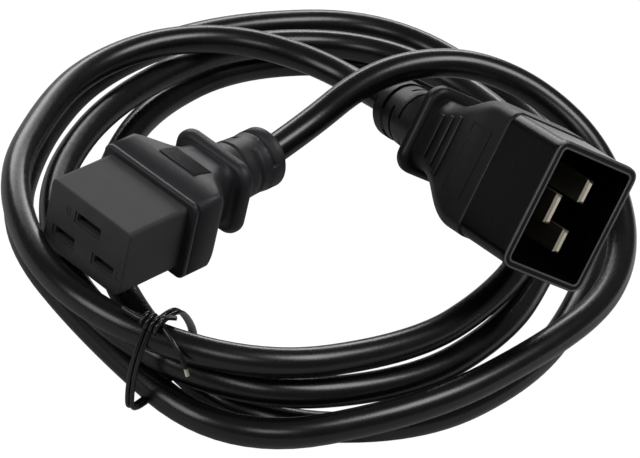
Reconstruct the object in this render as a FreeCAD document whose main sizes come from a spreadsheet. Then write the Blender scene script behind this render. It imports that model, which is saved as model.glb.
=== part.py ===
"""Power cord set: a C19 connector, a tied coil of round three-core cord and a C20 plug.

Frame: origin at the centre of the C19's mating face, which looks along -Y. X runs along the
long side of the face and Z is up. The cord lies in four loose turns under and behind the C19.
Both connectors are built the same way, each in a frame of its own like the one above: an insert
with open chambers, contacts with crimped cores, a rear cap, and a grip moulded over them.
"""
import FreeCAD, Part
import math
import os
import re
import Sketcher
from FreeCAD import Placement, Rotation, Vector

os.makedirs("parts", exist_ok=True)
doc = FreeCAD.newDocument("c19_cord_set")

SIZES = {
    # where the contacts lie in both mating faces
    "contact_pitch": 14.0,
    "row_height": 4.0,
    "fit_clearance": 0.1,
    # C19 insert: the block that enters the inlet
    "block_width": 28.0,
    "block_height": 20.0,
    "block_length": 20.5,
    "block_low_corner": 2.6,
    "block_top_corner": 1.2,
    "block_edge_round": 0.4,
    "slot_thick": 2.4,
    "slot_wide": 6.8,
    "earth_slot_wide": 8.2,
    "slot_rim": 0.6,
    "slot_rim_depth": 0.4,
    "face_wall": 1.8,
    # tails of both inserts, inside the grips
    "tail_width": 25.6,
    "tail_height": 15.4,
    "tail_length": 8.0,
    "tail_corner": 1.0,
    "chamber_wide": 9.0,
    "earth_chamber_wide": 10.4,
    "chamber_thick": 5.2,
    "chamber_corner": 0.4,
    "cap_thick": 2.5,
    # contacts
    "strip_thick": 0.5,
    "contact_length": 15.0,
    "contact_side_gap": 0.9,
    "mouth_rise": 0.9,
    "pinch_at": 2.6,
    "bow_at": 8.0,
    "barrel_outer": 3.4,
    "barrel_length": 4.5,
    "blade_thick": 2.0,
    "blade_wide": 6.4,
    "earth_blade_wide": 8.0,
    "blade_recess": 3.6,
    "earth_blade_recess": 2.4,
    "blade_tip_bevel": 0.6,
    "shoulder_length": 2.0,
    # cores
    "conductor_diameter": 1.5,
    "insulation_diameter": 2.9,
    "core_spread": 1.75,
    "c19_core_length": 13.0,
    "c20_core_length": 24.0,
    # C20 shroud
    "shroud_width": 34.4,
    "shroud_height": 26.4,
    "shroud_length": 22.0,
    "shroud_corner": 3.2,
    "shroud_wall": 1.7,
    "shroud_depth": 20.0,
    "shroud_base": 3.0,
    "shroud_lip": 0.4,
    "shroud_lip_length": 1.6,
    "shroud_rim_round": 0.5,
    # grips: the C19's own sizes, then the C20's, then what they share
    "c19_grip_width": 33.0,
    "c19_grip_height": 23.3,
    "c19_grip_corner": 2.2,
    "c19_grip_straight": 9.5,
    "c19_shoulder_at": 13.4,
    "c19_shoulder_width": 28.4,
    "c19_waist_at": 18.8,
    "c19_waist_width": 19.6,
    "c19_wing_at": 22.8,
    "c19_wing_width": 25.6,
    "c19_boot_at": 27.0,
    "c19_boot_length": 18.7,
    "c19_boot_root_diameter": 17.4,
    "c19_boot_slot_first": 4.0,
    "c20_grip_width": 35.2,
    "c20_grip_height": 27.2,
    "c20_grip_corner": 3.4,
    "c20_grip_straight": 7.0,
    "c20_shoulder_at": 18.5,
    "c20_shoulder_width": 30.4,
    "c20_waist_at": 31.0,
    "c20_waist_width": 21.0,
    "c20_wing_at": 38.2,
    "c20_wing_width": 25.2,
    "c20_boot_at": 42.6,
    "c20_boot_length": 22.8,
    "c20_boot_root_diameter": 18.4,
    "c20_boot_slot_first": 7.4,
    "grip_edge_round": 0.8,
    "waist_height": 18.8,
    "wing_height": 21.6,
    "wing_corner": 5.0,
    "wing_round": 1.8,
    # slotted boots
    "boot_neck_diameter": 16.0,
    "boot_ring_diameter": 16.6,
    "boot_ring_length": 5.2,
    "boot_end_bevel": 1.0,
    "boot_slot_width": 1.1,
    "boot_slot_pitch": 4.6,
    "boot_slot_angle": 136.0,
    "boot_sleeve_wall": 1.3,
    # cord
    "cord_diameter": 7.8,
    "tie_diameter": 1.3,
    "tie_knot_diameter": 3.0,
    # where the C20 lies
    "plug_x": 81.7,
    "plug_y": 86.7,
    "plug_z": 24.0,
    "plug_yaw": 99.6,
    "plug_pitch": -59.5,
    "plug_roll": -33.9,
}

sheet = doc.addObject("Spreadsheet::Sheet", "sizes")
for row, (alias, number) in enumerate(SIZES.items(), 1):
    sheet.set(f"A{row}", alias)
    sheet.set(f"B{row}", str(number))
    sheet.setAlias(f"B{row}", alias)
doc.recompute()


def formula(text):
    """The expression for a formula written with the sheet's words."""
    return re.sub(r"[a-z]\w+", lambda word: "sizes." + word[0] if word[0] in SIZES else word[0], text)


def value(text):
    """The number that a formula stands for."""
    number = sheet.evalExpression(formula(text))
    return float(getattr(number, "Value", number))


def bind(thing, formulas):
    for path, text in formulas.items():
        thing.setExpression(path, formula(text))


# ---------------------------------------------------------------- sketches

def body(label):
    made = doc.addObject("PartDesign::Body", label)
    made.Label = label
    return made


def sketch_on(owner, role, name, x="0", y="0", z="0"):
    """A sketch on one of the body's planes, moved by x and y in the plane and z along its normal."""
    made = owner.newObject("Sketcher::SketchObject", name)
    plane = [feature for feature in owner.Origin.OriginFeatures if feature.Role == role][0]
    made.AttachmentSupport = (plane, [""])
    made.MapMode = "FlatFace"
    bind(made, {"AttachmentOffset.Base.x": x, "AttachmentOffset.Base.y": y, "AttachmentOffset.Base.z": z})
    return made


def cross_section(owner, name, at, x="0", z="0"):
    """A sketch across the connector at a distance behind its face; its normal is -Y."""
    return sketch_on(owner, "XZ_Plane", name, x, z, f"-({at})")


def rounded_rectangle(sketch, width, height, corner, top_corner=None):
    """A rectangle about the sketch's origin with tangent corner arcs."""
    top_corner = top_corner or corner
    across, up = value(width) / 2, value(height) / 2
    low, top = value(corner), value(top_corner)
    turns = [
        (Vector(-across + low, -up), Vector(across - low, -up), Vector(across - low, -up + low), low, -90),
        (Vector(across, -up + low), Vector(across, up - top), Vector(across - top, up - top), top, 0),
        (Vector(across - top, up), Vector(-across + top, up), Vector(-across + top, up - top), top, 90),
        (Vector(-across, up - top), Vector(-across, -up + low), Vector(-across + low, -up + low), low, 180),
    ]
    for start, end, centre, radius, angle in turns:
        sketch.addGeometry(Part.LineSegment(start, end))
        circle = Part.Circle(centre, Vector(0, 0, 1), radius)
        sketch.addGeometry(Part.ArcOfCircle(circle, math.radians(angle), math.radians(angle + 90)))
    for edge in range(8):
        sketch.addConstraint(Sketcher.Constraint("Tangent", edge, 2, (edge + 1) % 8, 1))
    for edge, kind in ((0, "Horizontal"), (4, "Horizontal"), (2, "Vertical"), (6, "Vertical")):
        sketch.addConstraint(Sketcher.Constraint(kind, edge))
    sketch.addConstraint(Sketcher.Constraint("Equal", 1, 7))
    sketch.addConstraint(Sketcher.Constraint("Equal", 3, 5))
    named = (
        ("low", Sketcher.Constraint("Radius", 1, low), corner),
        ("top", Sketcher.Constraint("Radius", 3, top), top_corner),
        ("width", Sketcher.Constraint("DistanceX", 6, 1, 2, 1, 2 * across), width),
        ("height", Sketcher.Constraint("DistanceY", 0, 1, 4, 1, 2 * up), height),
        ("right", Sketcher.Constraint("DistanceX", -1, 1, 2, 1, across), f"({width}) / 2"),
        ("above", Sketcher.Constraint("DistanceY", -1, 1, 4, 1, up), f"({height}) / 2"),
    )
    for name, constraint, text in named:
        index = sketch.addConstraint(constraint)
        sketch.renameConstraint(index, name)
        sketch.setExpression(f"Constraints.{name}", formula(text))


def circle(sketch, diameter):
    sketch.addGeometry(Part.Circle(Vector(), Vector(0, 0, 1), value(diameter) / 2))
    edge = sketch.GeometryCount - 1
    sketch.addConstraint(Sketcher.Constraint("Coincident", edge, 3, -1, 1))
    index = sketch.addConstraint(Sketcher.Constraint("Diameter", edge, value(diameter)))
    sketch.setExpression(f"Constraints[{index}]", formula(diameter))


def polygon(sketch, corners):
    """A closed outline whose corners are held by their distances from the sketch's origin."""
    spots = [Vector(value(across), value(up)) for across, up in corners]
    count = len(spots)
    for index, spot in enumerate(spots):
        sketch.addGeometry(Part.LineSegment(spot, spots[(index + 1) % count]))
    for index, (across, up) in enumerate(corners):
        sketch.addConstraint(Sketcher.Constraint("Coincident", index, 2, (index + 1) % count, 1))
        for kind, text, distance in (("DistanceX", across, spots[index].x), ("DistanceY", up, spots[index].y)):
            held = sketch.addConstraint(Sketcher.Constraint(kind, -1, 1, index, 1, distance))
            sketch.setExpression(f"Constraints[{held}]", formula(text))


# ---------------------------------------------------------------- features

def extrude(owner, kind, sketch, length):
    """A pad or a pocket that runs back, away from the mating face."""
    made = owner.newObject(f"PartDesign::{kind}", f"{sketch.Name}_{kind.lower()}")
    made.Profile = sketch
    made.Reversed = kind == "Pad"
    bind(made, {"Length": length})
    return made


def block(owner, kind, name, at, length, width, height, corner=None, x="0", z="0", top_corner=None):
    """A straight pad or pocket with a rectangular section, round-cornered if a corner is given."""
    sketch = cross_section(owner, name, at, x, z)
    if corner:
        rounded_rectangle(sketch, width, height, corner, top_corner)
    else:
        across, up = f"({width}) / 2", f"({height}) / 2"
        polygon(sketch, [(f"-{across}", f"-{up}"), (across, f"-{up}"), (across, up), (f"-{across}", up)])
    return extrude(owner, kind, sketch, length)


def ring(owner, kind, name, at, length, diameter, x="0", z="0", bore=None):
    sketch = cross_section(owner, name, at, x, z)
    circle(sketch, diameter)
    if bore:
        circle(sketch, bore)
    return extrude(owner, kind, sketch, length)


def dress(owner, kind, name, size, base, wanted):
    """A fillet or a chamfer on the edges of a feature that pass a test."""
    doc.recompute()
    edges = [f"Edge{index}" for index, edge in enumerate(base.Shape.Edges, 1) if wanted(edge)]
    made = owner.newObject(f"PartDesign::{kind}", name)
    made.Base = (base, edges)
    bind(made, {"Radius" if kind == "Fillet" else "Size": size})
    return made


def lies_at(edge, y):
    box = edge.BoundBox
    return abs(box.YMin - y) < 1e-4 and abs(box.YMax - y) < 1e-4


# ---------------------------------------------------------------- tubes along bent paths

def bent_path(points):
    """Straight runs joined by tangent arcs, each as large as its two runs allow."""
    edges = []
    radii = []
    last = points[0]
    for before, corner, after in zip(points, points[1:], points[2:]):
        back, ahead = before - corner, after - corner
        cut = 0.45 * min(back.Length, ahead.Length)
        turn = math.pi - back.getAngle(ahead)
        radii.append(cut / math.tan(turn / 2))
        back.normalize()
        ahead.normalize()
        middle = (back + ahead).normalize()
        centre = corner + middle * (radii[-1] / math.cos(turn / 2))
        enter, leave = corner + back * cut, corner + ahead * cut
        edges.append(Part.LineSegment(last, enter).toShape())
        edges.append(Part.Arc(enter, centre - middle * radii[-1], leave).toShape())
        last = leave
    edges.append(Part.LineSegment(last, points[-1]).toShape())
    return Part.Wire(edges), radii


def tube(path, diameter):
    """A round rod along a path of runs and arcs, checked against section times length."""
    start = path.Edges[0]
    direction = start.tangentAt(start.FirstParameter)
    section = Part.Wire([Part.makeCircle(diameter / 2, start.Vertexes[0].Point, direction)])
    solid = path.makePipeShell([section], True, False)
    expected = math.pi / 4 * diameter ** 2 * path.Length
    if abs(solid.Volume - expected) > 0.005 * expected:
        raise ValueError(f"tube volume {solid.Volume:.1f}, expected {expected:.1f}")
    return solid


def feature(label, shape, placement=Placement()):
    made = doc.addObject("Part::Feature", label)
    made.Label = label
    made.Shape = shape
    made.Placement = placement
    return made


# ---------------------------------------------------------------- what both connectors share

SIDES = {"c19": 1, "c20": -1}
HALF_PITCH = "contact_pitch / 2"
# contact: x, z, word before the sizes that the earth contact has of its own
CONTACTS = {
    "line": (HALF_PITCH, "-row_height", ""),
    "neutral": (f"-{HALF_PITCH}", "-row_height", ""),
    "earth": ("0", "row_height", "earth_"),
}
# where each core meets the cord, in degrees about its centre
CORE_ANGLES = {"line": -30.0, "neutral": 210.0, "earth": 90.0}


def contacts(prefix):
    """The contacts of one connector; the plug's lie as in a mirror, so that line meets line."""
    return {name: (f"{SIDES[prefix]} * ({x})", z, own) for name, (x, z, own) in CONTACTS.items()}


def chambers(owner, prefix, front, length):
    """Open-backed chambers, one behind each slot."""
    for name, (x, z, own) in contacts(prefix).items():
        block(owner, "Pocket", f"{name}_chamber", front, length, f"{own}chamber_wide", "chamber_thick",
              "chamber_corner", x, z)


def cap(prefix, tail_end):
    """The plate that closes the chambers, with a hole for each core."""
    made = body(f"{prefix}_insert_cap")
    block(made, "Pad", "plate", tail_end, "cap_thick", "tail_width", "tail_height", "tail_corner")
    for name, (x, z, _) in contacts(prefix).items():
        ring(made, "Pocket", f"{name}_hole", tail_end, "cap_thick",
             "insulation_diameter + 2 * fit_clearance", x, z)
    return made


def barrel(owner, at, x, z):
    """The crimp barrel at the back of a contact."""
    return ring(owner, "Pad", "barrel", at, "barrel_length", "barrel_outer", x, z,
                "conductor_diameter + 2 * fit_clearance")


def core_path(prefix, name, start, tail_end):
    """A core's way from its contact, straight through the cap, then in to the end of the cord."""
    x, z, _ = contacts(prefix)[name]
    angle = math.radians(CORE_ANGLES[name])
    spread = value("core_spread")
    x_end, z_end = SIDES[prefix] * spread * math.cos(angle), spread * math.sin(angle)
    cap_end = value(f"{tail_end} + cap_thick")
    length = value(f"{prefix}_core_length")
    cord_end = cap_end + length
    bend = length / 4
    points = [
        Vector(value(x), value(start), value(z)),
        Vector(value(x), cap_end + bend, value(z)),
        Vector(x_end, cord_end - bend, z_end),
        Vector(x_end, cord_end, z_end),
    ]
    return bent_path(points)[0]


def cores(prefix, barrel_start, tail_end, placement):
    """Conductors and their insulation; returns the channels that the grip has round them."""
    channels = []
    bare = value("conductor_diameter")
    covered = value("insulation_diameter")
    gap = value("fit_clearance")
    for name in CONTACTS:
        whole = core_path(prefix, name, f"{barrel_start} + barrel_length * 0.2", tail_end)
        clothed = core_path(prefix, name, f"{barrel_start} + barrel_length + strip_thick", tail_end)
        feature(f"{prefix}_conductor_{name}", tube(whole, bare), placement)
        insulation = tube(clothed, covered).cut(tube(whole, bare + 2 * gap))
        feature(f"{prefix}_insulation_{name}", insulation, placement)
        channels.append(feature(f"{prefix}_channel_{name}", tube(clothed, covered + 2 * gap)))
    return channels


# which way the slots of each row face, in degrees from +X towards +Z
SLOT_ROWS = {
    "c19": [(90, 270), (0, 180), (90, 270)],
    "c20": [(30, 210), (150, 330), (30, 210), (150, 330)],
}


def boot_slots(prefix, boot_start):
    """Rows of slots round the boot, each with two bridges that the next row's slots face."""
    sectors = []
    for row, facings in enumerate(SLOT_ROWS[prefix]):
        for facing in facings:
            made = doc.addObject("Part::Cylinder", f"{prefix}_slot_{row}_{facing}")
            bind(made, {
                "Radius": f"{prefix}_boot_root_diameter",
                "Height": "boot_slot_width",
                "Angle": "boot_slot_angle",
                "Placement.Base.y": f"{boot_start} + {prefix}_boot_slot_first + {row} * boot_slot_pitch",
            })
            turn = Rotation(Vector(0, 0, 1), -facing - value("boot_slot_angle") / 2)
            made.Placement.Rotation = Rotation(Vector(1, 0, 0), -90) * turn
            sectors.append(made)
    rows = doc.addObject("Part::MultiFuse", f"{prefix}_slot_rows")
    rows.Shapes = sectors
    sleeve = doc.addObject("Part::Cylinder", f"{prefix}_sleeve")
    sleeve.Placement.Rotation = Rotation(Vector(1, 0, 0), -90)
    bind(sleeve, {
        "Radius": "cord_diameter / 2 + boot_sleeve_wall",
        "Height": f"{prefix}_boot_length",
        "Placement.Base.y": boot_start,
    })
    slots = doc.addObject("Part::Cut", f"{prefix}_slots")
    slots.Base = rows
    slots.Tool = sleeve
    return slots


def grip(prefix, front, channels, placement):
    """The moulded grip: a wave-sided body with a raised wing, and a slotted boot on the cord."""
    made = body(f"{prefix}_grip_body")
    width, height, corner = (f"{prefix}_grip_{word}" for word in ("width", "height", "corner"))
    straight, waist_width = f"{prefix}_grip_straight", f"{prefix}_waist_width"
    wing_at, boot_at = f"{prefix}_wing_at", f"{prefix}_boot_at"
    base = block(made, "Pad", "flange", front, straight, width, height, corner)
    dress(made, "Fillet", "flange_round", "grip_edge_round", base,
          lambda edge: lies_at(edge, value(front)))
    shoulder_height = f"({height} * 2 + waist_height) / 3"
    sections = [
        ("straight", straight, width, height, corner),
        ("shoulder", f"{prefix}_shoulder_at", f"{prefix}_shoulder_width", shoulder_height, "wing_corner"),
        ("waist", f"{prefix}_waist_at", waist_width, "waist_height", "wing_corner"),
        ("throat", f"{wing_at} + wing_round", waist_width, "waist_height", "wing_corner"),
    ]
    outlines = []
    for name, at, wide, high, round_off in sections:
        outline = cross_section(made, name, f"{front} + {at}")
        rounded_rectangle(outline, wide, high, round_off)
        outlines.append(outline)
    doc.recompute()
    loft = made.newObject("PartDesign::AdditiveLoft", "sides")
    loft.Profile = outlines[0]
    loft.Sections = outlines[1:]
    wing = block(made, "Pad", "wing", f"{front} + {wing_at}", f"{boot_at} - {wing_at}",
                 f"{prefix}_wing_width", "wing_height", "wing_corner")
    wing_faces = (value(f"{front} + {wing_at}"), value(f"{front} + {boot_at}"))
    dress(made, "Fillet", "wing_rounds", "wing_round", wing,
          lambda edge: edge.BoundBox.XLength > value(waist_width) - 2 * value("wing_corner")
          and any(lies_at(edge, y) for y in wing_faces))

    boot_start = f"{front} + {boot_at}"
    boot_end = f"{boot_start} + {prefix}_boot_length"
    root = f"{prefix}_boot_root_diameter / 2"
    profile = sketch_on(made, "XY_Plane", "boot_profile")
    ring_start = f"{boot_end} - boot_ring_length"
    polygon(profile, [
        ("0", f"{boot_start} - wing_round"),
        (root, f"{boot_start} - wing_round"),
        (root, boot_start),
        ("boot_neck_diameter / 2", f"{ring_start} - boot_slot_width"),
        ("boot_ring_diameter / 2", ring_start),
        ("boot_ring_diameter / 2", f"{boot_end} - boot_end_bevel"),
        ("boot_ring_diameter / 2 - boot_end_bevel", boot_end),
        ("0", boot_end),
    ])
    boot = made.newObject("PartDesign::Revolution", "boot")
    boot.Profile = profile
    boot.ReferenceAxis = (profile, ["V_Axis"])
    boot.Angle = 360

    block(made, "Pocket", "tail_seat", front, "tail_length + cap_thick + fit_clearance",
          "tail_width + 2 * fit_clearance", "tail_height + 2 * fit_clearance", "tail_corner")
    cord_end = f"{front} + tail_length + cap_thick + {prefix}_core_length"
    ring(made, "Pocket", "bore", cord_end, f"{boot_end} - ({cord_end})", "cord_diameter + 2 * fit_clearance")

    hollows = doc.addObject("Part::MultiFuse", f"{prefix}_hollows")
    hollows.Shapes = channels + [boot_slots(prefix, boot_start)]
    whole = doc.addObject("Part::Cut", f"{prefix}_grip")
    whole.Label = f"{prefix}_grip"
    whole.Base = made
    whole.Tool = hollows
    whole.Placement = placement
    return whole


def cord_end(prefix, front, placement):
    """The straight end of the cord inside a boot."""
    made = body(f"cord_end_{prefix}")
    start = f"{front} + tail_length + cap_thick + {prefix}_core_length"
    end = f"{front} + {prefix}_boot_at + {prefix}_boot_length"
    ring(made, "Pad", "jacket", start, f"{end} - ({start})", "cord_diameter")
    made.Placement = placement
    return made


# ---------------------------------------------------------------- C19 connector

def c19_insert():
    """The block with three slots in its face and a chamber behind each."""
    made = body("c19_insert")
    outer = block(made, "Pad", "block", "0", "block_length", "block_width", "block_height",
                  "block_low_corner", top_corner="block_top_corner")
    dress(made, "Fillet", "face_round", "block_edge_round", outer, lambda edge: lies_at(edge, 0))
    block(made, "Pad", "tail", "block_length", "tail_length", "tail_width", "tail_height", "tail_corner")
    for name, (x, z, own) in contacts("c19").items():
        wide = f"{own}slot_wide"
        block(made, "Pocket", f"{name}_rim", "0", "slot_rim_depth", f"{wide} + 2 * slot_rim",
              "slot_thick + 2 * slot_rim", "chamber_corner", x, z)
        block(made, "Pocket", f"{name}_slot", "0", "face_wall", wide, "slot_thick", "chamber_corner", x, z)
    chambers(made, "c19", "face_wall", "block_length + tail_length - face_wall")
    return made


def c19_contact(name):
    """A receptacle folded from one strip: two sprung leaves that pinch the blade, and a barrel."""
    x, z, own = contacts("c19")[name]
    made = body(f"c19_contact_{name}")
    wall = "chamber_thick / 2 - fit_clearance"
    pinch = "blade_thick / 2 - fit_clearance + strip_thick"
    mouth = "face_wall + fit_clearance"
    back = f"{mouth} + contact_length"
    # outer side of one leaf from its mouth to the fold, as distance behind the face and height
    leaf = [
        (mouth, f"{pinch} + mouth_rise"),
        (f"{mouth} + pinch_at", pinch),
        (f"{mouth} + bow_at", wall),
        (back, wall),
    ]
    inner_back = f"{back} - strip_thick"
    upper_inside = [(inner_back, f"{wall} - strip_thick")]
    upper_inside += [(at, f"{rise} - strip_thick") for at, rise in leaf[2::-1]]
    outline = leaf + [(at, f"-({rise})") for at, rise in leaf[::-1]]
    outline += [(at, f"-({rise})") for at, rise in upper_inside[::-1]] + upper_inside
    profile = sketch_on(made, "YZ_Plane", "strip", "0", z, x)
    polygon(profile, outline)
    strip = made.newObject("PartDesign::Pad", "leaves")
    strip.Profile = profile
    strip.Midplane = True
    bind(strip, {"Length": f"{own}chamber_wide - 2 * contact_side_gap"})
    barrel(made, back, x, z)
    return made


# ---------------------------------------------------------------- C20 plug

def c20_shroud():
    """The cup round the blades, with its base and the tail behind it."""
    made = body("c20_shroud")
    rim = block(made, "Pad", "rim", "0", "shroud_lip_length", "shroud_width + 2 * shroud_lip",
                "shroud_height + 2 * shroud_lip", "shroud_corner + shroud_lip")
    dress(made, "Fillet", "rim_round", "shroud_rim_round", rim, lambda edge: lies_at(edge, 0))
    block(made, "Pad", "cup", "shroud_lip_length", "shroud_length - shroud_lip_length", "shroud_width",
          "shroud_height", "shroud_corner")
    block(made, "Pocket", "mouth", "0", "shroud_depth", "shroud_width - 2 * shroud_wall",
          "shroud_height - 2 * shroud_wall", "shroud_corner - shroud_wall")
    block(made, "Pad", "tail", "shroud_length", "tail_length", "tail_width", "tail_height", "tail_corner")
    for name, (x, z, own) in contacts("c20").items():
        block(made, "Pocket", f"{name}_seat", "shroud_depth", "shroud_base",
              f"{own}blade_wide + 2 * fit_clearance", "blade_thick + 2 * fit_clearance", x=x, z=z)
    chambers(made, "c20", "shroud_depth + shroud_base",
             "shroud_length + tail_length - shroud_depth - shroud_base")
    return made


def c20_blade(name):
    """A flat blade with a bevelled tip, a shoulder behind the base and a crimp barrel."""
    x, z, own = contacts("c20")[name]
    made = body(f"c20_blade_{name}")
    recess = f"{own}blade_recess"
    seat_end = "shroud_depth + shroud_base"
    blade = block(made, "Pad", "blade", recess, f"{seat_end} - ({recess})", f"{own}blade_wide",
                  "blade_thick", x=x, z=z)
    dress(made, "Chamfer", "tip", "blade_tip_bevel", blade, lambda edge: lies_at(edge, value(recess)))
    block(made, "Pad", "shoulder", seat_end, "shoulder_length", f"{own}chamber_wide - 2 * fit_clearance",
          "blade_thick", x=x, z=z)
    barrel(made, f"{seat_end} + shoulder_length", x, z)
    return made


# ---------------------------------------------------------------- cord

# from the C19's boot, up over the C20's boot and down to the first turn
LEAD_IN = [
    (0, 66.2, 0), (0, 81.5, 0), (2, 98, 11), (7, 113, 17), (16, 129, 18.5),
    (31, 141, 13), (50, 145, 3), (70, 136, -7), (84, 114, -11),
]
# four turns, clockwise: how far out and how high above the floor, every 30 degrees
COIL_CENTRE = (9, 83)
FLOOR = -28
TURNS = [
    [
        (80, 17), (89, 14), (104.5, 8), (88, 5.6), (83, 5), (82, 4),
        (88, 4), (98, 4), (109, 4), (97, 4), (87, 4), (75, 4),
    ],
    [
        (76, 4), (84, 4), (87, 5.6), (70, 6), (60, 5), (57, 4),
        (63, 4), (76, 4), (88, 4), (86, 5), (73, 8), (62, 11),
    ],
    [
        (66, 13), (77, 13.5), (91, 15.2), (95, 14.2), (77, 13.3), (66, 13),
        (64, 13), (74, 13), (82, 13), (74, 16), (66, 18.4), (58, 18.4),
    ],
    [
        (60, 19.4), (72, 21.6), (90, 23.4), (100.5, 21.4), (93, 20), (80.5, 18),
    ],
]
# from the last turn to the C20's boot
LEAD_OUT = [
    (-61.5, 66, -9.4), (-58.5, 86, -6.9), (-49.5, 105, -6.4), (-33, 118, -6),
]


# the run before the end of the plug's boot
LAST_RUN = 16


def cord_points(plug):
    """The cord's route, from the end of one boot to the end of the other."""
    points = [Vector(*point) for point in LEAD_IN]
    for turn in TURNS:
        for step, (reach, height) in enumerate(turn):
            heading = math.radians(-30 * step)
            points.append(Vector(
                COIL_CENTRE[0] + reach * math.cos(heading),
                COIL_CENTRE[1] + reach * math.sin(heading),
                FLOOR + height,
            ))
    points += [Vector(*point) for point in LEAD_OUT]
    exit_at = value("shroud_length + c20_boot_at + c20_boot_length")
    points += [plug.multVec(Vector(0, exit_at + run, 0)) for run in (LAST_RUN, 0)]
    return points


def cord(plug):
    path, radii = bent_path(cord_points(plug))
    print(f"cord {path.Length:.1f} mm, radii:", " ".join(f"{radius:.0f}" for radius in radii))
    feature("cord_jacket", tube(path, value("cord_diameter")))


# where the tie holds the bundle, and its wire's way: reach, height above the floor, way along the cord
TIE_HEADING = -75
TIE_LOOP = [
    (95.5, 27.5, 0.6), (90.5, 30.2, 0.6), (83.5, 26, 0.5), (69.5, 9, 0.3), (71, 0.8, 0),
    (98, 0.8, -0.3), (99.2, 18, -0.5), (95.5, 27.5, -0.6),
]
TIE_TAILS = [(97, 25, -11), (95.5, 28, -3), (95.5, 27.5, 0), (97.5, 23, 4), (97.5, 16.5, 7)]


def wire_tie():
    """A coated wire laid once round the bundle and twisted on top of it."""
    heading = math.radians(TIE_HEADING)
    out = Vector(math.cos(heading), math.sin(heading), 0)
    along = Vector(-out.y, out.x, 0)
    centre = Vector(*COIL_CENTRE, FLOOR)
    wires = []
    for way in (TIE_LOOP, TIE_TAILS):
        points = [centre + out * reach + Vector(0, 0, height) + along * shift for reach, height, shift in way]
        wires.append(tube(bent_path(points)[0], value("tie_diameter")))
    reach, height, _ = TIE_LOOP[0]
    knot = Part.makeSphere(value("tie_knot_diameter") / 2, centre + out * reach + Vector(0, 0, height))
    feature("wire_tie", wires[0].fuse([wires[1], knot]).removeSplitter())


def main():
    here = Placement()
    plug = Placement(
        Vector(value("plug_x"), value("plug_y"), value("plug_z")),
        Rotation(value("plug_yaw"), value("plug_pitch"), value("plug_roll")),
    )
    c19_insert()
    cap("c19", "block_length + tail_length")
    for name in CONTACTS:
        c19_contact(name)
    c19_barrel = "face_wall + fit_clearance + contact_length"
    c19_channels = cores("c19", c19_barrel, "block_length + tail_length", here)
    grip("c19", "block_length", c19_channels, here)
    cord_end("c19", "block_length", here)

    c20_pieces = [c20_shroud(), cap("c20", "shroud_length + tail_length")]
    c20_pieces += [c20_blade(name) for name in CONTACTS]
    for piece in c20_pieces:
        piece.Placement = plug
    c20_barrel = "shroud_depth + shroud_base + shoulder_length"
    c20_channels = cores("c20", c20_barrel, "shroud_length + tail_length", plug)
    grip("c20", "shroud_length", c20_channels, plug)
    cord_end("c20", "shroud_length", plug)

    cord(plug)
    wire_tie()
    write_parts()


NODES = (
    ["c19_insert", "c19_insert_cap", "c19_grip", "cord_end_c19"]
    + ["c20_shroud", "c20_insert_cap", "c20_grip", "cord_end_c20", "cord_jacket", "wire_tie"]
    + [f"c19_contact_{name}" for name in CONTACTS]
    + [f"c20_blade_{name}" for name in CONTACTS]
    + [f"{prefix}_{piece}_{name}" for prefix in ("c19", "c20")
       for piece in ("conductor", "insulation") for name in CONTACTS]
)


def write_parts():
    """Check every object of the document, then write one STEP file for each node."""
    doc.recompute()
    for thing in doc.Objects:
        if "Invalid" in thing.State or "Error" in thing.State:
            raise RuntimeError(f"{thing.Label} failed: {thing.State}")
    for label in NODES:
        thing = doc.getObjectsByLabel(label)[0]
        shape = thing.Shape
        if shape.isNull() or not shape.isValid() or not shape.Solids:
            raise RuntimeError(f"{label} has no valid solid")
        shape.exportStep(f"parts/{label}.step")
        print(f"{label}: {len(shape.Solids)} solid, {shape.Volume:.1f} mm3")


main()
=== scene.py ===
"""Looks of a power cord set: a three-slot connector, a tied coil of round cord and a shrouded plug.

Everything is in metres, in the frame of the solids: the origin is the centre of the connector's
mating face, which looks along -Y, with X along its long side and Z up.
"""
import math

import bmesh
import bpy
from mathutils import Euler, Matrix, Vector
from mathutils.bvhtree import BVHTree


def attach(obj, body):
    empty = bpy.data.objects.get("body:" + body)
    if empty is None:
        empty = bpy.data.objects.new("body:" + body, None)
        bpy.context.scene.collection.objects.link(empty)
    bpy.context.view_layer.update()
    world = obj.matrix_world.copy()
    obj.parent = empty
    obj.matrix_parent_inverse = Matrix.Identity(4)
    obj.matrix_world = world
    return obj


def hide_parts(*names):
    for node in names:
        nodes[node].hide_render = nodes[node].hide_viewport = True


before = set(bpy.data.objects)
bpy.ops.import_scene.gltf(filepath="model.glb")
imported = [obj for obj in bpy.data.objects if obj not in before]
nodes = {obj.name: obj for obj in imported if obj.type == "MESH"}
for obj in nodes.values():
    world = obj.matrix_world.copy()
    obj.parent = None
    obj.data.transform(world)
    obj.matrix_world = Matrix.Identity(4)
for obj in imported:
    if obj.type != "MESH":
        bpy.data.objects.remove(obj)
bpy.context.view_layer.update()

scene = bpy.context.scene


# ---------------------------------------------------------------- camera, floor and light

CAMERA_PLACE = Vector((0.4348, -0.5327, 0.5031))
CAMERA_RIGHT = Vector((0.7216, 0.6641, 0.1956)).normalized()
CAMERA_UP = Vector((-0.5143, 0.3252, 0.7935)).normalized()
CAMERA_ANGLE = math.radians(10.706)
MIDDLE = Vector((0.009, 0.083, -0.005))
FLOOR_HEIGHT = -0.028
FLOOR_REACH = 3
FLOOR_GREY = 0.5
FLOOR_GLOW = 1.12
# how much of the glow the camera and glossy surfaces see, near and beyond a soft line along Y
FLOOR_SEEN = 0.9
FLOOR_MIRRORED = 0.05
FAR_FLOOR_MIRRORED = 0.8
FAR_FLOOR = (0.15, 0.22)
WORLD_LEVEL = 0.08
WORLD_MIRRORED = 0.04
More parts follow.
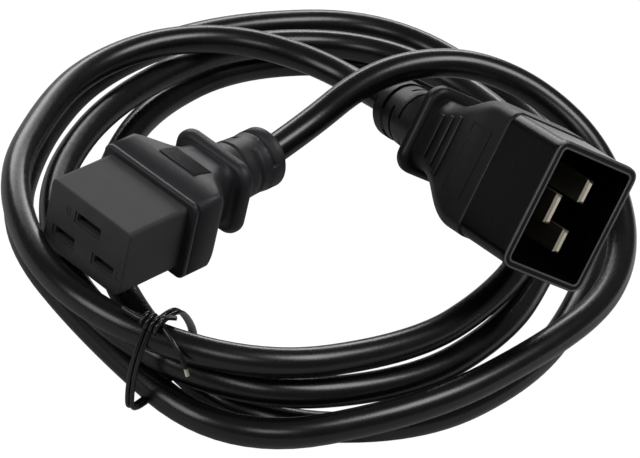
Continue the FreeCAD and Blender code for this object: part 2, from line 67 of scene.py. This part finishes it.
# name, place, size and power of each softbox
SOFTBOXES = [
    ("back_softbox", (-0.84, 0.78, 0.40), (1.1, 0.32), 6.8),
    ("top_softbox", (0.50, 0.38, 1.0), (0.5, 0.4), 5.5),
    ("left_softbox", (-0.34, -0.87, 0.55), (0.5, 0.5), 3.5),
    ("front_softbox", (0.53, -0.54, 0.85), (0.35, 0.35), 1.6),
]


def facing(place, right, up):
    """The turn and place of a thing that looks against the cross product of right and up."""
    back = right.cross(up).normalized()
    turn = Matrix((right, back.cross(right), back)).transposed()
    return Matrix.Translation(place) @ turn.to_4x4()


def set_camera():
    """The scene's camera, in the frame of the solids."""
    data = bpy.data.cameras.new("camera")
    data.sensor_fit = "HORIZONTAL"
    data.angle = CAMERA_ANGLE
    data.clip_end = 10
    camera = bpy.data.objects.new("camera", data)
    camera.matrix_world = facing(CAMERA_PLACE, CAMERA_RIGHT, CAMERA_UP)
    scene.collection.objects.link(camera)
    scene.camera = camera


def area_light(name, place, size, power):
    """A rectangular softbox that looks at the middle of the coil."""
    data = bpy.data.lights.new(name, "AREA")
    data.shape = "RECTANGLE"
    data.size, data.size_y = size
    data.energy = power
    light = bpy.data.objects.new(name, data)
    light.location = place
    light.rotation_euler = (MIDDLE - Vector(place)).to_track_quat("-Z", "Y").to_euler()
    scene.collection.objects.link(light)


# ---------------------------------------------------------------- shader maths

class Number:
    """A socket that can be added, multiplied and so on; each step adds a Math node."""

    def __init__(self, maker, socket):
        self.maker = maker
        self.socket = socket

    def math(self, operation, *others):
        inputs = dict(enumerate((self, *others)))
        return self.maker.number("ShaderNodeMath", {"operation": operation}, inputs)

    def __add__(self, other):
        return self.math("ADD", other)

    def __sub__(self, other):
        return self.math("SUBTRACT", other)

    def __mul__(self, other):
        return self.math("MULTIPLY", other)

    __radd__ = __add__


class NodeMaker:
    """Adds nodes to one node tree and links them."""

    def __init__(self, tree):
        self.tree = tree

    def node(self, kind, settings=None, inputs=None):
        made = self.tree.nodes.new(kind)
        for name, setting in (settings or {}).items():
            setattr(made, name, setting)
        for name, given in (inputs or {}).items():
            self.feed(made.inputs[name], given)
        return made

    def feed(self, socket, given):
        """Link a socket to another or to a Number, or set its value."""
        if isinstance(given, Number):
            given = given.socket
        if isinstance(given, bpy.types.NodeSocket):
            self.tree.links.new(given, socket)
        elif socket.type == "RGBA" and len(given) == 3:
            socket.default_value = (*given, 1)
        else:
            socket.default_value = given

    def number(self, kind, settings=None, inputs=None, output=0):
        return Number(self, self.node(kind, settings, inputs).outputs[output])

    def rays(self, *kinds):
        """For each kind of ray, such as Camera, a mask that is 1 for it and 0 for the others."""
        path = self.node("ShaderNodeLightPath")
        return [Number(self, path.outputs[f"Is {kind} Ray"]) for kind in kinds]


class Finish(NodeMaker):
    """A material made of nodes, built round one Principled shader."""

    def __init__(self, name):
        self.material = bpy.data.materials.new(name)
        self.material.use_nodes = True
        super().__init__(self.material.node_tree)
        self.shader = self.tree.nodes["Principled BSDF"]
        self.output = self.tree.nodes["Material Output"]
        self.place = self.node("ShaderNodeTexCoord").outputs["Object"]

    def set(self, **inputs):
        """Feed the shader's inputs, named in small letters with underscores."""
        for name, given in inputs.items():
            self.feed(self.shader.inputs[name.replace("_", " ").title().replace("Ior", "IOR")], given)

    def noise(self, size, detail=2.0, roughness=0.5):
        """Noise whose lumps are about as wide as size, in metres."""
        inputs = {"Vector": self.place, "Scale": 1 / size, "Detail": detail, "Roughness": roughness}
        return self.number("ShaderNodeTexNoise", {}, inputs, "Fac")

    def between(self, value, low, high):
        """A mask that is 0 where the value is under low, 1 over high and even in between."""
        inputs = {"Value": value, "From Min": low, "From Max": high}
        return self.number("ShaderNodeMapRange", {}, inputs, "Result")

    def mixed(self, factor, first, second):
        """A colour between two, with the Mix node's colour inputs, 6 and 7, and its colour output, 2."""
        inputs = {"Factor": factor, 6: first, 7: second}
        return self.node("ShaderNodeMix", {"data_type": "RGBA"}, inputs).outputs[2]

    def bump(self, height, distance):
        inputs = {"Height": height, "Distance": distance, "Strength": 1.0}
        self.feed(self.shader.inputs["Normal"], self.node("ShaderNodeBump", {}, inputs).outputs[0])


def shade(colour, level):
    """A colour made lighter or darker."""
    return tuple(channel * level for channel in colour)


# patches of sheen and tone, in widths of the grain, and how far the tone goes each way
PATCH_GRAINS = 45
PATCH_DARK = 0.8
PATCH_LIGHT = 1.22
# fine scuffs, drawn out along Y: their scale, the noise levels they lie between, their look
SCUFF_SCALE = 900.0
SCUFF_STRETCH = (1.0, 0.14, 1.0)
SCUFF_LEVELS = (0.66, 0.74)
SCUFF_LIGHT = 3
SCUFF_DULL = 0.2


def plastic(name, colour, roughness, grain, depth, sheen=0.5, uneven=0.1, scuffs=0.0):
    """Moulded plastic: an even grain, soft patches of sheen, a change of tone and fine scuffs."""
    finish = Finish(name)
    fine = finish.noise(grain, 3)
    broad = finish.noise(grain * PATCH_GRAINS, 2, 0.6)
    tone = finish.mixed(broad, shade(colour, PATCH_DARK), shade(colour, PATCH_LIGHT))
    dull = roughness + (broad - 0.5) * uneven + (fine - 0.5) * uneven
    if scuffs:
        stretched = finish.node("ShaderNodeMapping", {}, {"Vector": finish.place, "Scale": SCUFF_STRETCH})
        marks = finish.number("ShaderNodeTexNoise", {}, {
            "Vector": stretched.outputs[0], "Scale": SCUFF_SCALE, "Detail": 5.0, "Roughness": 0.7,
        }, "Fac")
        worn = finish.between(marks, *SCUFF_LEVELS) * scuffs
        tone = finish.mixed(worn, tone, shade(colour, SCUFF_LIGHT))
        dull = dull + worn * SCUFF_DULL
    finish.set(base_color=tone, roughness=dull, specular_ior_level=sheen)
    finish.bump(fine, depth)
    return finish.material


# ---------------------------------------------------------------- the cord

# the route, near the solid's: up over the plug's boot, three and a half turns, and into the plug's boot
LEAD_IN = [
    (0, 0.0662, 0), (0, 0.0815, 0.0035), (0.002, 0.098, 0.0132), (0.007, 0.113, 0.0172), (0.016, 0.129, 0.0168),
    (0.031, 0.141, 0.0118), (0.050, 0.146, 0.003), (0.071, 0.1365, -0.007), (0.0845, 0.1145, -0.011),
]
COIL_CENTRE = (0.009, 0.083)
# the turns, clockwise: how far out and how high above the floor, once every 30 degrees; the table started as
# a program's fit, some places are still its numbers, and the others were changed afterwards
TURN_STEP = -30
TURNS = [
    [
        (0.0798, 0.017), (0.0885, 0.014), (0.106, 0.008), (0.0855, 0.0056), (0.0848, 0.005), (0.079, 0.004),
        (0.0845, 0.004), (0.0955, 0.004), (0.112, 0.004), (0.095, 0.004), (0.087, 0.004), (0.0745, 0.004),
    ],
    [
        (0.076, 0.004), (0.0845, 0.004), (0.0918, 0.005), (0.0718, 0.006), (0.060, 0.005), (0.0575, 0.004),
        (0.0635, 0.004), (0.076, 0.004), (0.0885, 0.004), (0.088, 0.005), (0.073, 0.008), (0.062, 0.011),
    ],
    [
        (0.066, 0.013), (0.0782, 0.0135), (0.0950, 0.0152), (0.0905, 0.0138), (0.0765, 0.0133), (0.0665, 0.013),
        (0.065, 0.013), (0.074, 0.013), (0.0825, 0.013), (0.074, 0.016), (0.066, 0.0184), (0.058, 0.0184),
    ],
    [
        (0.060, 0.0194), (0.0735, 0.0216), (0.095, 0.0236), (0.1003, 0.0224), (0.0885, 0.020), (0.0765, 0.0185),
    ],
]
LEAD_OUT = [
    (-0.063, 0.0665, -0.009), (-0.060, 0.087, -0.0065), (-0.0503, 0.106, -0.006), (-0.033, 0.118, -0.006),
]
LAST_RUN = 0.016
PLUG_PLACE = Vector((0.0817, 0.0867, 0.0240))
PLUG_TURN = Euler((math.radians(-33.9), math.radians(-59.5), math.radians(99.6)))
PLUG = Matrix.Translation(PLUG_PLACE) @ PLUG_TURN.to_matrix().to_4x4()
PLUG_LENGTH = 0.0874
CORD_DIAMETER = 0.0078


def cord_route():
    """The control points of the cord's spline, from the end of one boot to the end of the other."""
    points = [Vector(point) for point in LEAD_IN]
    for turn in TURNS:
        for step, (reach, height) in enumerate(turn):
            heading = math.radians(TURN_STEP * step)
            points.append(Vector((
                COIL_CENTRE[0] + reach * math.cos(heading),
                COIL_CENTRE[1] + reach * math.sin(heading),
                FLOOR_HEIGHT + height,
            )))
    points += [Vector(point) for point in LEAD_OUT]
    points += [PLUG @ Vector((0, PLUG_LENGTH + run, 0)) for run in (LAST_RUN, 0)]
    return points


def round_piece(name, points, thick, finish, spans=8, facets=4, closed=False):
    """A round wire or cord along one smooth spline, as a piece that rides with the whole part."""
    data = bpy.data.curves.new(name, "CURVE")
    data.dimensions = "3D"
    data.resolution_u = spans
    data.bevel_depth = thick / 2
    data.bevel_resolution = facets
    data.use_fill_caps = True
    spline = data.splines.new("NURBS")
    spline.points.add(len(points) - 1)
    for point, place in zip(spline.points, points):
        point.co = (*place, 1)
    spline.order_u = 3
    spline.use_endpoint_u = not closed
    spline.use_cyclic_u = closed
    made = bpy.data.objects.new(name, data)
    scene.collection.objects.link(made)
    data.materials.append(FINISHES[finish])
    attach(made, "root")
    return made


def make_cord(fittings):
    """The cord along its route; the plug's parts and the given fittings are gathered in a list that nothing
    uses.
    """
    cord = round_piece("cord", cord_route(), CORD_DIAMETER, "jacket", 12, 9)
    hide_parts("cord_jacket")
    on_cord = [node for name, node in nodes.items() if name.startswith("c20_")]
    on_cord += [nodes["cord_end_c20"], *fittings]


# ---------------------------------------------------------------- moulded details

# planes of the groove behind the front of the three-slot connector's flange, and its depth
GROOVE = (0.0219, 0.0220, 0.0223, 0.0224)
GROOVE_DEPTH = 0.0004
# the bore through the flange, which the groove leaves alone: half width and half height
GROOVE_SEAT = (0.0131, 0.0080)
RIB_COUNT = 12
RIB_START = 0.0302
RIB_PITCH = 0.00056
RIB_LENGTH = 0.0128
RIB_WIDTH = 0.00026
RIB_HEIGHT = 0.00032
RIB_EDGE = 0.00005
LETTER_HEIGHT = 0.0036
LETTER_RISE = 0.0002
# each pole's letter and the place of its lower left corner on the face
POLE_LETTERS = [("E", -0.0080, 0.0028), ("N", -0.0137, -0.0052), ("L", 0.0113, -0.0052)]
# how far behind the plug's mouth each rib lies, and its length
PLUG_RIBS = [(0.0440, 0.0170), (0.0490, 0.0146), (0.0540, 0.0124)]
PLUG_RIB_SECTION = (0.0015, 0.0014)
PLUG_RIB_EDGE = 0.0003
# the panel's outline: its sides follow the curved grip in short bars that lap a little
PANEL_START = 0.0270
PANEL_END = 0.0360
PANEL_WIDTH = 0.0186
PANEL_LINE = (0.0004, 0.0003)
PANEL_LINE_EDGE = 0.00008
PANEL_SIDE_BARS = 8
PANEL_LAP = 1.05
RIM_BEAD_THICK = 0.0005
# name, half width, half height and corner of each bead
RIM_BEADS = [("rim_bead_outer", 0.01725, 0.01325, 0.0032), ("rim_bead_inner", 0.0158, 0.0118, 0.0016)]
# the tie's way round the bundle and its loose ends: reach, height above the floor and way along the cord,
# in millimetres
MILLIMETRE = 0.001
TIE_HEADING = -75
TIE_THICK = 0.0012
TIE_WIRE_SHIFT = 0.65
TIE_LOOP = [
    (95.5, 27.5, 0.6), (91.5, 29.8, 1.6), (84.5, 26.5, 2.2), (69.5, 9, 1.0), (71, 0.8, 0.6), (98.5, 0.8, 0.2),
    (101, 9, -0.3), (100.8, 20, -0.7), (96.5, 27.5, -0.8),
]
TIE_TAILS = [
    [(95.5, 28, -9), (97, 28, -3), (95.5, 29.0, 0), (94, 29.8, 2), (92, 29.4, 4)],
    [(94.5, 28.5, 0), (96.5, 28, 4), (98, 25.5, 9), (98.5, 21.5, 12)],
]
TIE_TIP = [(98.48, 21.8, 11.8), (98.55, 21.0, 12.3), (98.62, 20.2, 12.8)]
# the knot winds along the cord: its middle, half width, half height, start, and way along for each radian
KNOT_REACH = 95.5
KNOT_HEIGHT = 27.6
KNOT_HALF_WIDTH = 2.2
KNOT_HALF_HEIGHT = 2.1
KNOT_START = -2.6
KNOT_ADVANCE = 0.22
KNOT_POINTS = 28


def add_piece(name, grid, finish, smooth=math.radians(35)):
    """A finished bmesh as a piece of the scene that rides with the whole part."""
    mesh = bpy.data.meshes.new(name)
    grid.to_mesh(mesh)
    grid.free()
    mesh.shade_smooth()
    mesh.set_sharp_from_angle(angle=smooth)
    piece = bpy.data.objects.new(name, mesh)
    scene.collection.objects.link(piece)
    mesh.materials.append(FINISHES[finish])
    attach(piece, "root")
    return piece


def surface_of(name, frame_of=Matrix()):
    """A solid's surface, in a frame of its own, for finding heights on it."""
    grid = bmesh.new()
    grid.from_mesh(nodes[name].data)
    bmesh.ops.transform(grid, matrix=frame_of.inverted(), verts=grid.verts)
    tree = BVHTree.FromBMesh(grid)
    grid.free()
    return tree


def height_on(tree, x, y, above=0.05):
    """The height of a surface and its slope along Y, seen from above."""
    spot, normal, _, _ = tree.ray_cast(Vector((x, y, above)), Vector((0, 0, -1)))
    return spot.z, math.atan2(-normal.y, normal.z)


def add_bar(grid, tree, x, y, size, soft=0.0):
    """A bar half sunk in a surface and turned to its slope, with softened edges."""
    height, slope = height_on(tree, x, y)
    made = bmesh.ops.create_cube(grid, size=1)["verts"]
    bmesh.ops.scale(grid, verts=made, vec=size)
    bmesh.ops.rotate(grid, verts=made, cent=(0, 0, 0), matrix=Matrix.Rotation(-slope, 3, "X"))
    bmesh.ops.translate(grid, verts=made, vec=(x, y, height))
    if soft:
        edges = {edge for vert in made for edge in vert.link_edges}
        bmesh.ops.bevel(grid, geom=list(edges), offset=soft, segments=2, profile=0.5, affect="EDGES",
                        material=-1)


def make_grip_shell():
    """The three-slot connector's grip with the fine groove that runs round its flange."""
    grid = bmesh.new()
    grid.from_mesh(nodes["c19_grip"].data)
    bmesh.ops.remove_doubles(grid, verts=grid.verts, dist=1e-6)
    for at in GROOVE:
        geometry = grid.verts[:] + grid.edges[:] + grid.faces[:]
        bmesh.ops.bisect_plane(grid, geom=geometry, dist=1e-7, plane_co=(0, at, 0), plane_no=(0, 1, 0))
    sunk = [vert for vert in grid.verts if GROOVE[0] + 1e-6 < vert.co.y < GROOVE[-1] - 1e-6
            and (abs(vert.co.x) > GROOVE_SEAT[0] or abs(vert.co.z) > GROOVE_SEAT[1])]
    across, up = (max(abs(getattr(vert.co, axis)) for vert in sunk) for axis in "xz")
    bmesh.ops.scale(grid, verts=sunk, vec=(1 - GROOVE_DEPTH / across, 1, 1 - GROOVE_DEPTH / up))
    shell = add_piece("c19_grip_shell", grid, "grip", math.radians(28))
    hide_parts("c19_grip")


def make_thumb_ribs():
    """Fine ribs across the top of the three-slot connector's grip."""
    tree = surface_of("c19_grip")
    grid = bmesh.new()
    for count in range(RIB_COUNT):
        y = RIB_START + count * RIB_PITCH
        add_bar(grid, tree, 0, y, (RIB_LENGTH, RIB_WIDTH, 2 * RIB_HEIGHT), RIB_EDGE)
    add_piece("c19_grip_ribs", grid, "grip")


def make_pole_letters():
    """The letters of the three poles, raised a little on the mating face."""
    grid = bmesh.new()
    for letter, x, z in POLE_LETTERS:
        data = bpy.data.curves.new(letter, "FONT")
        data.body = letter
        data.size = LETTER_HEIGHT
        data.extrude = LETTER_RISE / 2
        data.resolution_u = 4
        text = bpy.data.objects.new(letter, data)
        flat = bpy.data.meshes.new_from_object(text)
        turn = Matrix.Translation((x, -LETTER_RISE / 2, z)) @ Matrix.Rotation(math.pi / 2, 4, "X")
        flat.transform(turn)
        grid.from_mesh(flat)
        bpy.data.objects.remove(text)
        bpy.data.meshes.remove(flat)
    bmesh.ops.remove_doubles(grid, verts=grid.verts, dist=1e-6)
    add_piece("c19_pole_letters", grid, "insert")


def make_plug_lines():
    """Three ribs across the plug's broad side and the raised outline of its bare panel."""
    tree = surface_of("c20_grip", PLUG)
    grid = bmesh.new()
    for y, length in PLUG_RIBS:
        add_bar(grid, tree, 0, y, (length, *PLUG_RIB_SECTION), PLUG_RIB_EDGE)
    for y in (PANEL_START, PANEL_END):
        add_bar(grid, tree, 0, y, (PANEL_WIDTH, *PANEL_LINE), PANEL_LINE_EDGE)
    width, height = PANEL_LINE
    pitch = (PANEL_END - PANEL_START) / PANEL_SIDE_BARS
    for side in (-1, 1):
        for count in range(PANEL_SIDE_BARS):
            y = PANEL_START + pitch * (count + 0.5)
            add_bar(grid, tree, side * PANEL_WIDTH / 2, y, (width, pitch * PANEL_LAP, height))
    bmesh.ops.transform(grid, matrix=PLUG, verts=grid.verts)
    return add_piece("c20_grip_lines", grid, "plug_grip")


def make_rim_beads():
    """A thin bead round the outer and the inner edge of the plug's mouth: a moulded step that catches real
    gloss, coloured light grey as a painted highlight.
    """
    made = []
    for name, width, height, corner in RIM_BEADS:
        ring = []
        for right, up in ((1, 1), (1, -1), (-1, -1), (-1, 1)):
            bend = [(width - 2 * corner, height), (width, height), (width, height - 2 * corner)]
            if right != up:
                bend.reverse()
            ring += [PLUG @ Vector((x * right, 0, z * up)) for x, z in bend]
        made.append(round_piece(name, ring, RIM_BEAD_THICK, "rim", closed=True))
    return made


def tie_place(reach, height, shift):
    """A place by the tie, from millimetres out of the coil's centre, above the floor and along the cord."""
    heading = math.radians(TIE_HEADING)
    out = Vector((math.cos(heading), math.sin(heading), 0))
    along = Vector((-out.y, out.x, 0))
    rise = Vector((0, 0, height * MILLIMETRE))
    return Vector((*COIL_CENTRE, FLOOR_HEIGHT)) + (out * reach + along * shift) * MILLIMETRE + rise


def knot_places():
    """The way of the twisted wire, with eight points to a turn."""
    places = []
    for step in range(KNOT_POINTS):
        turn = step * math.pi / 4
        reach = KNOT_REACH + KNOT_HALF_WIDTH * math.cos(turn)
        height = KNOT_HEIGHT + KNOT_HALF_HEIGHT * math.sin(turn)
        places.append(tie_place(reach, height, KNOT_START + turn * KNOT_ADVANCE))
    return places


def tie_wire(name, places, finish="tie"):
    """One piece of the tie's wire."""
    return round_piece(name, places, TIE_THICK, finish)


def make_tie():
    """A coated wire, doubled, laid round the bundle and twisted on top of it."""
    made = []
    for count, shift in enumerate((-TIE_WIRE_SHIFT, TIE_WIRE_SHIFT)):
        loop = [tie_place(reach, height, way + shift) for reach, height, way in TIE_LOOP]
        made.append(tie_wire(f"tie_wire_{count}", loop))
    for count, tail in enumerate(TIE_TAILS):
        made.append(tie_wire(f"tie_tail_{count}", [tie_place(*spot) for spot in tail]))
    made.append(tie_wire("tie_knot", knot_places()))
    made.append(tie_wire("tie_tip", [tie_place(*spot) for spot in TIE_TIP], "brass"))
    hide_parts("wire_tie")
    return made


# ---------------------------------------------------------------- finishes

STREAK_SIZE = 0.0006
STREAK_DARK = 0.88
STREAK_DULL = 0.15
STREAK_DEPTH = 0.00001


def metal(name, colour, roughness):
    """Plated or bare metal with fine uneven streaks."""
    finish = Finish(name)
    streaks = finish.noise(STREAK_SIZE, 4)
    finish.set(base_color=finish.mixed(streaks, shade(colour, STREAK_DARK), colour), metallic=1.0,
               roughness=roughness + (streaks - 0.5) * STREAK_DULL)
    finish.bump(streaks, STREAK_DEPTH)
    return finish.material


FINISHES = {
    "insert": plastic("insert_grain", (0.050, 0.050, 0.050), 0.55, 0.00012, 0.00003, 0.2, scuffs=0.3),
    "grip": plastic("grip_grain", (0.022, 0.022, 0.025), 0.46, 0.00022, 0.00004, 0.35, scuffs=0.2),
    "plug_grip": plastic("plug_grip_grain", (0.007, 0.007, 0.008), 0.40, 0.00022, 0.00003, 0.3, scuffs=0.2),
    "shroud": plastic("shroud_gloss", (0.0015, 0.0015, 0.0018), 0.26, 0.0003, 0.000008, 0.2, scuffs=0.4),
    # the rim beads' light grey is a painted highlight along the edges of the plug's mouth; their gloss is real
    "rim": plastic("rim_bead_painted_highlight", (0.10, 0.10, 0.11), 0.3, 0.0003, 0.000008),
    "jacket": plastic("jacket_satin", (0.003, 0.003, 0.0034), 0.27, 0.0002, 0.00001, 0.5),
    "tie": plastic("tie_coating", (0.004, 0.004, 0.004), 0.25, 0.0002, 0.00001),
    "brass": metal("blade_plating", (0.90, 0.83, 0.68), 0.32),
    # the contacts are brass darkened to a painted shade, for the dark inside of the slots
    "contact": metal("contact_painted_shade", (0.10, 0.085, 0.055), 0.5),
    "copper": metal("bare_copper", (0.8, 0.45, 0.3), 0.3),
    "line": plastic("line_core", (0.2, 0.09, 0.04), 0.45, 0.0002, 0.00001),
    "neutral": plastic("neutral_core", (0.03, 0.12, 0.45), 0.45, 0.0002, 0.00001),
    "earth": plastic("earth_core", (0.2, 0.4, 0.05), 0.45, 0.0002, 0.00001),
}

# the finish of each node, by the beginning of its name; a core's is named by its pole
NODE_FINISHES = {
    "c19_insert": "insert", "c19_grip": "grip", "c20_shroud": "shroud", "c20_insert_cap": "insert",
    "c20_grip": "plug_grip", "cord_end": "jacket", "wire_tie": "tie", "c19_contact": "contact",
    "c20_blade": "brass", "c19_conductor": "copper", "c20_conductor": "copper",
    "c19_insulation": "core", "c20_insulation": "core",
}


def finish_nodes():
    """Put its finish on each solid."""
    for name, node in nodes.items():
        for start, finish in NODE_FINISHES.items():
            if name.startswith(start):
                key = name.rsplit("_", 1)[1] if finish == "core" else finish
                for slot in node.material_slots:
                    slot.material = FINISHES[key]


# ---------------------------------------------------------------- floor and light

def make_floor():
    """A pale floor that stays white to the camera and keeps a faint shadow."""
    grid = bmesh.new()
    bmesh.ops.create_grid(grid, x_segments=1, y_segments=1, size=FLOOR_REACH)
    bmesh.ops.translate(grid, verts=grid.verts, vec=(MIDDLE.x, MIDDLE.y, FLOOR_HEIGHT))
    mesh = bpy.data.meshes.new("floor")
    grid.to_mesh(mesh)
    grid.free()
    floor = bpy.data.objects.new("floor", mesh)
    scene.collection.objects.link(floor)
    finish = Finish("pale_floor")
    finish.set(base_color=(FLOOR_GREY, FLOOR_GREY, FLOOR_GREY), roughness=0.9)
    glow = finish.node("ShaderNodeEmission", {}, {"Color": (1, 1, 1), "Strength": FLOOR_GLOW})
    seen, mirrored = finish.rays("Camera", "Glossy")
    apart = finish.node("ShaderNodeSeparateXYZ", {}, {0: finish.place})
    far = finish.between(apart.outputs["Y"], *FAR_FLOOR)
    level = far * (FAR_FLOOR_MIRRORED - FLOOR_MIRRORED) + FLOOR_MIRRORED
    mix = finish.node("ShaderNodeMixShader", {}, {
        0: seen * FLOOR_SEEN + mirrored * level, 1: finish.shader.outputs[0], 2: glow.outputs[0],
    })
    finish.tree.links.new(mix.outputs[0], finish.output.inputs["Surface"])
    mesh.materials.append(finish.material)


def set_world():
    """Soft light from all sides, and white where the camera sees it; gloss sees part of that white."""
    world = bpy.data.worlds.new("studio")
    world.use_nodes = True
    scene.world = world
    sky = NodeMaker(world.node_tree)
    seen, mirrored, through = sky.rays("Camera", "Glossy", "Transmission")
    strength = WORLD_LEVEL + (seen + through) * (1 - WORLD_LEVEL) + mirrored * WORLD_MIRRORED
    background = sky.tree.nodes["Background"]
    sky.feed(background.inputs["Color"], (1, 1, 1))
    sky.feed(background.inputs["Strength"], strength)


scene.view_settings.view_transform = "Standard"
set_camera()
make_cord([make_plug_lines(), *make_rim_beads(), *make_tie()])
finish_nodes()
make_grip_shell()
make_thumb_ribs()
make_pole_letters()
make_floor()
set_world()
for softbox in SOFTBOXES:
    area_light(*softbox)
